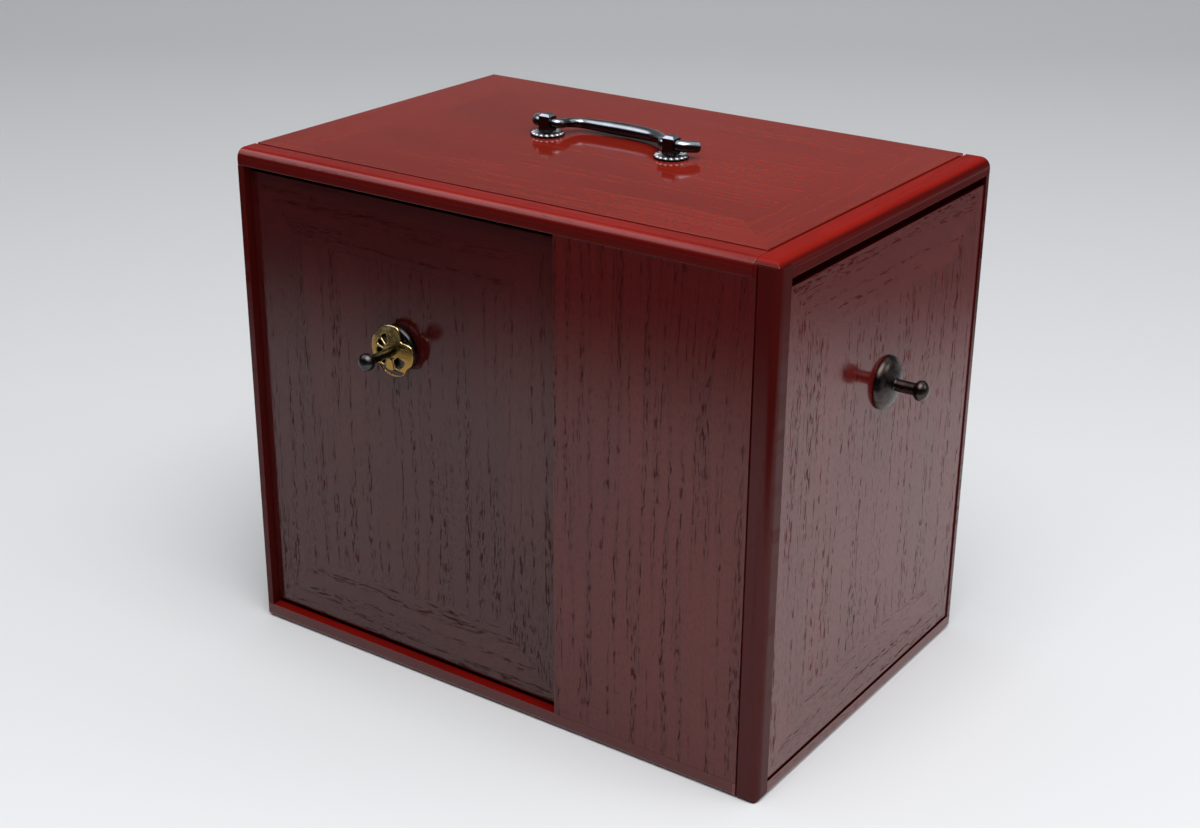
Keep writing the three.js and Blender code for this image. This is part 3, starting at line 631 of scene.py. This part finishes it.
# The edge strips and the corner post are solid wood, planed round and filled, so
# that the lacquer on them is smooth. The strips are painted a brighter red on their tops
# and darker on their upright faces, as painted light and shade from the light above.
strip_red = (0.26, 0.010, 0.006)
strip_dark = (0.11, 0.006, 0.004)
strip_upright_shade = (0.075, 0.004, 0.003)
strip_front = veneer(
    "strip_front", "X", "Y", strip_red, strip_dark, 13.0, pores=0.3, gloss=0.15, relief=0.02,
    upright_shade=(0.085, 0.003, 0.002), upright_shade_range=(0.35, 0.96), polish=0.8,
)
strip_side = veneer(
    "strip_side", "Y", "X", strip_red, strip_dark, 14.0, pores=0.25, gloss=0.13, relief=0.02,
    upright_shade=strip_upright_shade, upright_shade_range=(0.6, 0.98), polish=0.4,
)
post_red = (0.058, 0.004, 0.003)
post_wood = veneer(
    "post_wood", "Z", "X", post_red, side_pore, 15.0, pores=0.4, gloss=0.10, relief=0.03, polish=0.44)
sill_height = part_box("bottom_front_strip")[1].z
# The front foot strip is painted a lighter red on its upward faces and panel_red on its upright ones, as
# painted light and shade.
foot_front = veneer(
    "foot_front", "X", "Z", (0.19, 0.006, 0.004), side_pore, 16.0, pores=0.05, relief=0.02, upright_shade=panel_red)
foot_side = veneer(
    "foot_side", "Y", "Z", side_red, side_pore, 17.0, pores=0.5, relief=0.03, polish_ior=1.62,
    # Painted shadow along the strip's top edge.
    grooves=[("Z", sill_height, sill_height - 0.4 * mm)],
)
dress("top_front_strip", strip_front, 0.5 * mm)
dress("top_right_strip", strip_side, 0.5 * mm)
dress("bottom_front_strip", foot_front, 0.15 * mm)
dress("bottom_right_strip", foot_side, 0.15 * mm)
dress("corner_post", post_wood, 0.4 * mm)

# Inside, the partition, the stops, the shelves and their cleats have one thin
# coat of red lacquer over plain wood. They show only when a door is out.
inner_red = (0.16, 0.03, 0.022)
inner_wood = veneer("inner_wood", "Y", "X", inner_red, (0.10, 0.015, 0.012), 20.0, gloss=0.4, relief=0.15)
inner_nodes = [
    "partition_board", "front_door_stop", "side_door_stop", "left_shelf_cleat_left",
    "left_shelf_cleat_right", "left_shelf", "right_shelf_cleat_front",
    "right_shelf_cleat_back", "right_shelf",
]
for name in inner_nodes:
    dress(name, inner_wood)


# The handle's two eye posts are blackened iron, filed square with faceted heads
# and rubbed bright in patches; their faces that look level or down are painted dark, as
# painted shade. They go through the top board to nuts underneath, and the door pulls
# have nuts of the same iron.
rubbed_metal, given, result = new_group(
    "rubbed_metal",
    [("Grain", number), ("Dark", colour), ("Worn", colour), ("Gloss", number), ("Dullness", number)],
    [("Color", colour), ("Roughness", number), ("Height", number)],
)
rubbed_range = (0.38, 0.68)
dull_range = (0.3, 0.7)
metal_place = put(rubbed_metal, "ShaderNodeTexCoord")
mottle = put(rubbed_metal, "ShaderNodeTexNoise", (), {"Detail": 4})
rubbed_metal.links.new(metal_place.outputs["Object"], mottle.inputs["Vector"])
rubbed_metal.links.new(given["Grain"], mottle.inputs["Scale"])
rubbed_metal.links.new(mottle.outputs["Fac"], result["Height"])
rubbed = spread(rubbed_metal, mottle.outputs["Fac"], *rubbed_range)
rubbed_metal.links.new(blended(rubbed_metal, rubbed, given["Dark"], given["Worn"]), result["Color"])
dull_patches = spread(rubbed_metal, mottle.outputs["Fac"], *dull_range)
unevenness = calculate(rubbed_metal, "SUBTRACT", given["Dullness"], given["Gloss"])
rubbed_metal.links.new(
    calculate(rubbed_metal, "MULTIPLY_ADD", dull_patches, unevenness, given["Gloss"]), result["Roughness"])
rub_depth = 0.05 * mm


def worn_metal(name, dark, worn, gloss, dullness, grain=260, relief=0.15, under=None,
               under_range=(0.30, 0.62)):
    """Metal that handling has polished in patches, with a faint mottle in its gloss. under is the
    colour painted on the faces that look level or down, as painted shade under the light from above."""
    material = bpy.data.materials.new(name)
    material.use_nodes = True
    tree = material.node_tree
    shader = tree.nodes["Principled BSDF"]
    shader.inputs["Metallic"].default_value = 1.0
    metal = put(tree, "ShaderNodeGroup", {"node_tree": rubbed_metal}, {
        "Grain": grain, "Dark": (*dark, 1), "Worn": (*worn, 1), "Gloss": gloss, "Dullness": dullness,
    })
    tone = metal.outputs["Color"]
    if under is not None:
        tone = blended(tree, upright_mask(tree, *under_range), tone, (*under, 1))
    tree.links.new(tone, shader.inputs["Base Color"])
    tree.links.new(metal.outputs["Roughness"], shader.inputs["Roughness"])
    bump = put(tree, "ShaderNodeBump", (), {"Distance": rub_depth, "Strength": relief})
    tree.links.new(metal.outputs["Height"], bump.inputs["Height"])
    tree.links.new(bump.outputs["Normal"], shader.inputs["Normal"])
    return material


# The iron's level and downward faces are painted near black, as painted shade.
handle_iron = worn_metal(
    "handle_iron", dark=(0.34, 0.355, 0.39), worn=(0.44, 0.46, 0.51), gloss=0.20, dullness=0.26,
    grain=90, relief=0.02, under=(0.045, 0.042, 0.044), under_range=(0.32, 0.66),
)
for name in ("handle_post_left", "handle_post_right"):
    dress(name, handle_iron, 0.4 * mm)
for name in ("handle_nut_left", "handle_nut_right", "front_pull_nut", "side_pull_nut"):
    dress(name, handle_iron, 0.3 * mm)


# Each washer under a post is a small cast flower with sixteen round petals,
# bright on their crests and dark in the valleys between them: the colour is painted by
# height, the crests rubbed bright and the valleys dark as painted shade.
def join_rings(shape, first, second):
    """Fills the band between two rings of points, either of which may be a single point."""
    steps = max(len(first), len(second))
    for step in range(steps):
        after = (step + 1) % steps
        corners = [first[step % len(first)], first[after % len(first)]]
        corners += [second[after % len(second)], second[step % len(second)]]
        once = list(dict.fromkeys(corners))
        if len(once) > 2:
            shape.faces.new(once)


same_point = 0.001 * mm


def finished(name, shape, material, body, node, place=None, sharp=40):
    """Turns a shape into a finished piece that stands for a piece of the frame."""
    bmesh.ops.remove_doubles(shape, verts=shape.verts, dist=same_point)
    bmesh.ops.recalc_face_normals(shape, faces=shape.faces)
    for face in shape.faces:
        face.smooth = True
    for line in shape.edges:
        line.smooth = line.calc_face_angle(0.0) < math.radians(sharp)
    if place is not None:
        shape.transform(place)
    mesh = bpy.data.meshes.new(name)
    shape.to_mesh(mesh)
    shape.free()
    piece = bpy.data.objects.new(name, mesh)
    bpy.context.scene.collection.objects.link(piece)
    piece.data.materials.append(material)
    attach(piece, body)
    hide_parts(node)
    return piece


washer_petals = 16
petal_steps = 10
washer_hole = 2.3 * mm
petal_root = 4.4 * mm
petal_dip = 0.10
petal_seat = 0.6 * mm
petal_stations = [0, 0.15, 0.3, 0.45, 0.6, 0.72, 0.82, 0.9, 0.96, 1.0]
hole_level = 0.5
foot_level = 0.22
root_level = 0.62
valley_level = 0.30
petal_peak = 0.72
petal_fall = 0.30


def petalled_washer(radius, height):
    """A washer that stands on the level 0. Its levels are shares of its height."""
    shape = bmesh.new()
    steps = washer_petals * petal_steps
    rings = []
    for inner in (washer_hole, petal_root - petal_seat):
        ring = []
        for step in range(steps):
            turn = math.tau * step / steps
            ring.append(shape.verts.new((
                inner * math.cos(turn), inner * math.sin(turn), height * hole_level)))
        rings.append(ring)
    for share in petal_stations:
        ring = []
        for step in range(steps):
            turn = math.tau * step / steps
            across = 2 * ((step / petal_steps) % 1) - 1
            round_over = math.sqrt(max(0.0, 1 - across * across))
            reach = radius * (1 - petal_dip * across * across)
            r = petal_root + (reach - petal_root) * share
            if share < petal_peak:
                crest = root_level + (1 - root_level) * share / petal_peak
            else:
                crest = math.sqrt(max(0.0, 1 - ((share - petal_peak) / petal_fall) ** 2))
            swell = valley_level + (1 - valley_level) * round_over
            z = height * (foot_level + (1 - foot_level) * crest * swell)
            ring.append(shape.verts.new((r * math.cos(turn), r * math.sin(turn), z)))
        rings.append(ring)
    foot = [shape.verts.new((*vertex.co.xy, 0)) for vertex in rings[-1]]
    hole_foot = [shape.verts.new((*vertex.co.xy, 0)) for vertex in rings[0]]
    rings += [foot, hole_foot]
    for first, second in zip(rings, rings[1:]):
        join_rings(shape, first, second)
    join_rings(shape, hole_foot, rings[0])
    return shape


crest_blend_start = 0.35
crest_blend_end = 0.9
petal_valley = (0.02, 0.02, 0.022, 1)
petal_crest = (0.50, 0.50, 0.53, 1)
washer_low, washer_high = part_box("handle_washer_left")
washer_height = washer_high.z - washer_low.z
washer_metal = bpy.data.materials.new("washer_metal")
washer_metal.use_nodes = True
washer_tree = washer_metal.node_tree
washer_shader = washer_tree.nodes["Principled BSDF"]
washer_shader.inputs["Metallic"].default_value = 1.0
washer_place = put(washer_tree, "ShaderNodeTexCoord")
washer_parts = put(washer_tree, "ShaderNodeSeparateXYZ")
washer_tree.links.new(washer_place.outputs["Object"], washer_parts.inputs[0])
washer_wear_and_shade = spread(
    washer_tree, washer_parts.outputs["Z"],
    washer_low.z + crest_blend_start * washer_height, washer_low.z + crest_blend_end * washer_height,
)
washer_tree.links.new(
    blended(washer_tree, washer_wear_and_shade, petal_valley, petal_crest), washer_shader.inputs["Base Color"])
washer_grain = put(washer_tree, "ShaderNodeGroup", {"node_tree": rubbed_metal}, {
    "Grain": 500, "Gloss": 0.25, "Dullness": 0.45,
})
washer_tree.links.new(washer_grain.outputs["Roughness"], washer_shader.inputs["Roughness"])
for side in ("left", "right"):
    low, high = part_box("handle_washer_" + side)
    seat = Matrix.Translation(((low.x + high.x) / 2, (low.y + high.y) / 2, low.z))
    finished(
        "petalled_washer_" + side, petalled_washer((high.y - low.y) / 2, high.z - low.z), washer_metal,
        "case", "handle_washer_" + side, seat, sharp=60,
    )

# The bail is one forged iron rod. It lies back on the top: its pins turn in the
# posts' eyes, two arms carry a bowed grip that is wider than it is thick, and both
# ends turn back past the eyes.
eye_height = 7.1 * mm
arm_gap = 0.45 * mm
pin_past_post = 0.6 * mm
post_low, post_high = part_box("handle_post_left")
other_low, other_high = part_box("handle_post_right")
bail_middle = (post_low.x + other_high.x) / 2
bail_axis = Vector((0, (post_low.y + post_high.y) / 2, top_high.z + eye_height))
arm_start = (other_low.x - post_high.x) / 2 - arm_gap
pin_end = (other_high.x - post_low.x) / 2 + pin_past_post
bail_tilt = math.radians(8)
bail_reach = 20.4 * mm
bail_bend = 2.9 * mm
bend_turns = (88, 52)
pin_radius = 2.4 * mm
grip_half_width = 4.8 * mm
grip_half_thickness = 3.6 * mm
end_radius = 3.1 * mm
end_length = 7.5 * mm
end_straight = 4 * mm
end_reach = 8 * mm
end_edge = 0.7 * mm
bail_sides = 40
bend_steps = 5
span_steps = 8
end_steps = 12
bail_bow = [
    (-0.92, 0.2), (-0.935, 0.43), (-0.895, 0.66), (-0.8, 0.84), (-0.62, 0.93), (-0.36, 0.97), (-0.1, 1),
    (0.14, 0.99), (0.34, 0.94), (0.5, 0.86), (0.64, 0.71), (0.77, 0.5), (0.87, 0.29),
]


def arm_bend(side, turn):
    """The bend that leads from a pin into its arm. turn is in degrees."""
    points = []
    for step in range(bend_steps + 1):
        angle = math.radians(turn * step / bend_steps)
        points.append(Vector((
            side * (arm_start - bail_bend * math.sin(angle)), bail_bend * (1 - math.cos(angle)))))
    return points


def along_spline(points, steps):
    """Points and directions on a smooth curve through the points given."""
    track = []
    spans = len(points) - 1
    for step in range(spans * steps + 1):
        span = min(step // steps, spans - 1)
        t = step / steps - span
        before, start, end, after = (points[max(0, min(spans, span + i))] for i in (-1, 0, 1, 2))
        leave = (end - before) / 2
        arrive = (after - start) / 2
        place = (
            (2 * t**3 - 3 * t**2 + 1) * start + (t**3 - 2 * t**2 + t) * leave
            + (3 * t**2 - 2 * t**3) * end + (t**3 - t**2) * arrive)
        heading = (
            (6 * t**2 - 6 * t) * start + (3 * t**2 - 4 * t + 1) * leave
            + (6 * t - 6 * t**2) * end + (3 * t**2 - 2 * t) * arrive)
        track.append((place, heading.normalized()))
    return track


bail_shape = bmesh.new()
bail_rings = []


def bail_section(place, heading, half_width, half_thickness):
    """A ring across the bail's line. place and heading lie in the bail's own tilted plane."""
    ring = []
    sides = bail_sides if half_width > 0 else 1
    for step in range(sides):
        turn = math.tau * step / sides
        across = half_width * math.cos(turn)
        over = half_thickness * math.sin(turn)
        away = place.y + heading.x * across
        ring.append(bail_shape.verts.new((
            bail_middle + place.x - heading.y * across,
            bail_axis.y + away * math.cos(bail_tilt) + over * math.sin(bail_tilt),
            bail_axis.z - away * math.sin(bail_tilt) + over * math.cos(bail_tilt),
        )))
    bail_rings.append(ring)


def end_track(side):
    """The line of one turned end, from its eye outwards."""
    track = []
    for step in range(end_steps + 1):
        t = step / end_steps
        place = Vector((pin_end + 2 * t * (1 - t) * end_straight + t * t * end_length, t * t * end_reach))
        heading = Vector((2 * (1 - 2 * t) * end_straight + 2 * t * end_length, 2 * t * end_reach))
        heading.normalize()
        track.append((Vector((side * place.x, place.y)), Vector((heading.x, side * heading.y))))
    return track


def end_radius_at(left):
    """The ends are rounded off at their tips. left is the length still to go."""
    if left >= end_edge:
        return end_radius
    return end_radius - end_edge + math.sqrt(max(0.0, end_edge**2 - (end_edge - left)**2))


def end_sections(side):
    """The places, directions and radii of one turned end, up to its rounded tip."""
    track = end_track(side)
    tip, tip_heading = track[-1]
    sections = [(place, heading, end_radius) for place, heading in track if (tip - place).length > end_edge]
    outward = tip_heading * side
    for share in (1.0, 0.6, 0.3, 0.1, 0.0):
        sections.append((tip - outward * end_edge * share, tip_heading, end_radius_at(end_edge * share)))
    sections.append((tip, tip_heading, 0.0))
    return sections


for place, heading, radius in reversed(end_sections(-1)):
    bail_section(place, heading, radius, radius)
level = Vector((1, 0))
bail_section(Vector((-pin_end, 0)), level, pin_radius, pin_radius)
bail_section(Vector((-arm_start, 0)), level, pin_radius, pin_radius)
bail_line = arm_bend(-1, bend_turns[0])
bail_line += [Vector((along * arm_start, away * bail_reach)) for along, away in bail_bow]
bail_line += reversed(arm_bend(1, bend_turns[1]))
for place, heading in along_spline(bail_line, span_steps)[1:-1]:
    swell = max(0.0, math.cos(math.pi / 2 * place.x / arm_start))
    bail_section(
        place, heading,
        pin_radius + (grip_half_width - pin_radius) * swell,
        pin_radius + (grip_half_thickness - pin_radius) * swell,
    )
bail_section(Vector((arm_start, 0)), level, pin_radius, pin_radius)
bail_section(Vector((pin_end, 0)), level, pin_radius, pin_radius)
for place, heading, radius in end_sections(1):
    bail_section(place, heading, radius, radius)
for first, second in zip(bail_rings, bail_rings[1:]):
    join_rings(bail_shape, first, second)
finished("lying_bail", bail_shape, handle_iron, "handle", "handle_bail", sharp=35)


# The front door's pull: a dark turned boss swells from the door and carries a
# gilt openwork rosette, and a dark pin with a button end is screwed through both.
def turned_shape(profile, steps=72, closed=False):
    """Turns a profile of radius and height round the upright axis."""
    shape = bmesh.new()
    rings = []
    for radius, height in profile:
        if radius < same_point:
            rings.append([shape.verts.new((0, 0, height))])
            continue
        ring = []
        for step in range(steps):
            turn = math.tau * step / steps
            ring.append(shape.verts.new((radius * math.cos(turn), radius * math.sin(turn), height)))
        rings.append(ring)
    for first, second in zip(rings, rings[1:]):
        join_rings(shape, first, second)
    if closed:
        join_rings(shape, rings[-1], rings[0])
    return shape


def bow(centre_radius, centre_height, reach_out, reach_up, start, end, steps=10):
    """Points of a quarter or more of an ellipse, for a turned profile. Angles in degrees from level."""
    points = []
    for step in range(steps + 1):
        angle = math.radians(start + (end - start) * step / steps)
        points.append((
            centre_radius + reach_out * math.cos(angle),
            centre_height + reach_up * math.sin(angle),
        ))
    return points


def button_pin(shaft, tail, seat, tip_height, button_radius, button_half, stem, flare):
    """A threaded stem, a shaft with a flared root and a flattened round button at its end."""
    middle = tip_height - button_half
    profile = [(0, tail), (stem, tail), (stem, seat), (shaft + flare, seat)]
    if flare > 0:
        profile += bow(shaft + flare, seat + flare, flare, flare, 270, 180, 5)[1:]
    meet = math.degrees(math.acos(min(1.0, shaft / button_radius)))
    profile += [(shaft, middle - button_half * math.sin(math.radians(meet)))]
    profile += bow(0, middle, button_radius, button_half, -meet, 90, 14)[1:]
    profile[-1] = (0, tip_height)
    return turned_shape(profile, 48)


front_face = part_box("front_door_panel")[0].y
base_low, base_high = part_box("front_pull_base")
rosette_low, rosette_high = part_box("front_pull_rosette")
pin_low, pin_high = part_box("front_pull_pin")
pull_x = (base_low.x + base_high.x) / 2
pull_z = (base_low.z + base_high.z) / 2
on_front = Matrix((
    (1, 0, 0, pull_x),
    (0, 0, -1, front_face),
    (0, 1, 0, pull_z),
    (0, 0, 0, 1),
))
stem_hole = 2.3 * mm
base_radius = (base_high.x - base_low.x) / 2
base_height = front_face - base_low.y
pull_iron = worn_metal(
    "pull_iron", dark=(0.045, 0.044, 0.046), worn=(0.085, 0.080, 0.080), gloss=0.20, dullness=0.34)
base_root = 10 * mm
base_edge = 0.42 * base_height
base_bulge = 0.55 * base_height
base_profile = [(stem_hole, 0), (base_root, 0)]
base_profile += bow(base_root, base_bulge, base_radius - base_root, base_bulge, 270, 360, 10)[1:]
base_profile += bow(
    base_radius - base_edge, base_height - base_edge, base_edge, base_edge, 0, 90, 6)
base_profile += [(stem_hole, base_height)]
finished(
    "pull_boss", turned_shape(base_profile, closed=True), pull_iron,
    "front_door", "front_pull_base", on_front,
)

rosette_radius = (rosette_high.x - rosette_low.x) / 2
rosette_height = front_face - rosette_low.y - base_height
rosette_hub = 4.6 * mm
rosette_rim = 4.0 * mm
rosette_notch = 4.6 * mm
rosette_edge = 0.5 * mm
rosette_dome = 1.5 * mm
rosette_notches = [(45, 32, 1.0), (-40, 20, 0.25), (140, 16, 0.2), (-135, 20, 0.2)]
rosette_windows = [(154, 11), (122, 13), (-48, 24), (-98, 13), (-135, 13), (-172, 14)]
window_round = 1.0 * mm
corner_cut = 0.3
window_outer_steps = 8
window_inner_steps = 6
rosette_step = 3
hole_step = 15


def rosette_outline(angle):
    """The rosette's radius at an angle in degrees, less what its notches take."""
    bite = 0.0
    for middle, half, share in rosette_notches:
        off = abs((angle - middle + 540) % 360 - 180)
        bite = max(bite, share * (1 + math.cos(math.pi * min(1, off / half))) / 2)
    return rosette_radius - rosette_notch * bite


def round_point(radius, angle):
    return Vector((radius * math.cos(math.radians(angle)), radius * math.sin(math.radians(angle))))


def window_outline(angle, half):
    """A window's outline between the hub and the rim, with its corners rounded off."""
    inner = rosette_hub
    outer = rosette_radius - rosette_rim
    corner_outer = math.degrees(window_round / outer)
    corner_inner = math.degrees(window_round / inner)
    side_points = [
        (outer - corner_cut * window_round, corner_cut * corner_outer),
        (outer - window_round, 0.0),
        (inner + window_round, 0.0),
        (inner + corner_cut * window_round, corner_cut * corner_inner),
    ]
    points = []
    for step in range(window_outer_steps + 1):
        share = 1 - 2 * step / window_outer_steps
        points.append(round_point(outer, angle + (half - corner_outer) * share))
    for radius, off in side_points:
        points.append(round_point(radius, angle - half + off))
    for step in range(window_inner_steps + 1):
        share = 1 - 2 * step / window_inner_steps
        points.append(round_point(inner, angle - max(0.0, half - corner_inner) * share))
    for radius, off in reversed(side_points):
        points.append(round_point(radius, angle + half - off))
    return points


def openwork_rosette():
    """The plate is drawn as outlines, filled, given its thickness, rounded at every edge and domed."""
    outlines = [[round_point(rosette_outline(angle), angle) for angle in range(0, 360, rosette_step)]]
    outlines.append([round_point(stem_hole, angle) for angle in range(0, 360, hole_step)])
    outlines += [window_outline(angle, half) for angle, half in rosette_windows]
    drawing = bpy.data.curves.new("rosette_drawing", "CURVE")
    drawing.dimensions = "2D"
    drawing.fill_mode = "BOTH"
    thickness = rosette_height - rosette_dome
    drawing.extrude = thickness / 2 - rosette_edge
    drawing.bevel_depth = rosette_edge
    drawing.bevel_resolution = 3
    drawing.offset = -rosette_edge
    for outline in outlines:
        line = drawing.splines.new("POLY")
        line.points.add(len(outline) - 1)
        for point, place in zip(line.points, outline):
            point.co = (place.x, place.y, 0, 1)
        line.use_cyclic_u = True
    holder = bpy.data.objects.new("rosette_drawing", drawing)
    mesh = bpy.data.meshes.new_from_object(holder)
    bpy.data.objects.remove(holder)
    shape = bmesh.new()
    shape.from_mesh(mesh)
    bpy.data.meshes.remove(mesh)
    bmesh.ops.remove_doubles(shape, verts=shape.verts, dist=same_point)
    bmesh.ops.triangulate(shape, faces=shape.faces)
    bmesh.ops.subdivide_edges(shape, edges=shape.edges, cuts=2, use_grid_fill=True)
    for vertex in shape.verts:
        share = min(1.0, vertex.co.xy.length / rosette_radius)
        vertex.co.z += thickness / 2 + rosette_dome * (1 - share**2)
    return shape


# The gilt's level and downward faces are painted dark gold, as painted shade.
gilt_brass = worn_metal(
    "gilt_brass", dark=(0.72, 0.50, 0.20), worn=(0.95, 0.76, 0.38), gloss=0.18, dullness=0.30,
    relief=0.05, under=(0.32, 0.19, 0.05), under_range=(0.03, 0.22),
)
on_base = on_front @ Matrix.Translation((0, 0, base_height))
finished(
    "openwork_rosette", openwork_rosette(), gilt_brass,
    "front_door", "front_pull_rosette", on_base, sharp=50,
)
pin_stem = 2.0 * mm
finished(
    "button_pin_front",
    button_pin(
        shaft=2.4 * mm, tail=front_face - pin_high.y, seat=base_height + rosette_height,
        tip_height=front_face - pin_low.y, button_radius=(pin_high.x - pin_low.x) / 2,
        button_half=4.1 * mm, stem=pin_stem, flare=0.0,
    ),
    pull_iron, "front_door", "front_pull_pin", on_front,
)

# The side door's pull is all dark bronze: a domed plate and a thick pin that
# flares where it leaves the dome and ends in a flat round button.
side_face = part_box("side_door_panel")[1].x
plate_low, plate_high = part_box("side_pull_plate")
side_pin_low, side_pin_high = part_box("side_pull_pin")
on_side = Matrix((
    (0, 0, 1, side_face),
    (1, 0, 0, (plate_low.y + plate_high.y) / 2),
    (0, 1, 0, (plate_low.z + plate_high.z) / 2),
    (0, 0, 0, 1),
))
plate_radius = (plate_high.y - plate_low.y) / 2
plate_height = plate_high.x - side_face
dark_bronze = worn_metal(
    "dark_bronze", dark=(0.050, 0.040, 0.037), worn=(0.085, 0.066, 0.058), gloss=0.22, dullness=0.36)
plate_undercut = 0.4 * mm
plate_edge = 0.5 * mm
plate_profile = [(stem_hole, 0), (plate_radius - plate_undercut, 0), (plate_radius, plate_edge)]
plate_profile += bow(
    stem_hole, plate_edge, plate_radius - stem_hole, plate_height - plate_edge, 0, 90, 20)[1:]
finished(
    "domed_plate", turned_shape(plate_profile, closed=True), dark_bronze,
    "side_door", "side_pull_plate", on_side,
)
finished(
    "button_pin_side",
    button_pin(
        shaft=3.2 * mm, tail=side_pin_low.x - side_face, seat=plate_height,
        tip_height=side_pin_high.x - side_face, button_radius=(side_pin_high.y - side_pin_low.y) / 2,
        button_half=3.9 * mm, stem=pin_stem, flare=0.7 * mm,
    ),
    dark_bronze, "side_door", "side_pull_pin", on_side,
)

low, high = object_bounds()
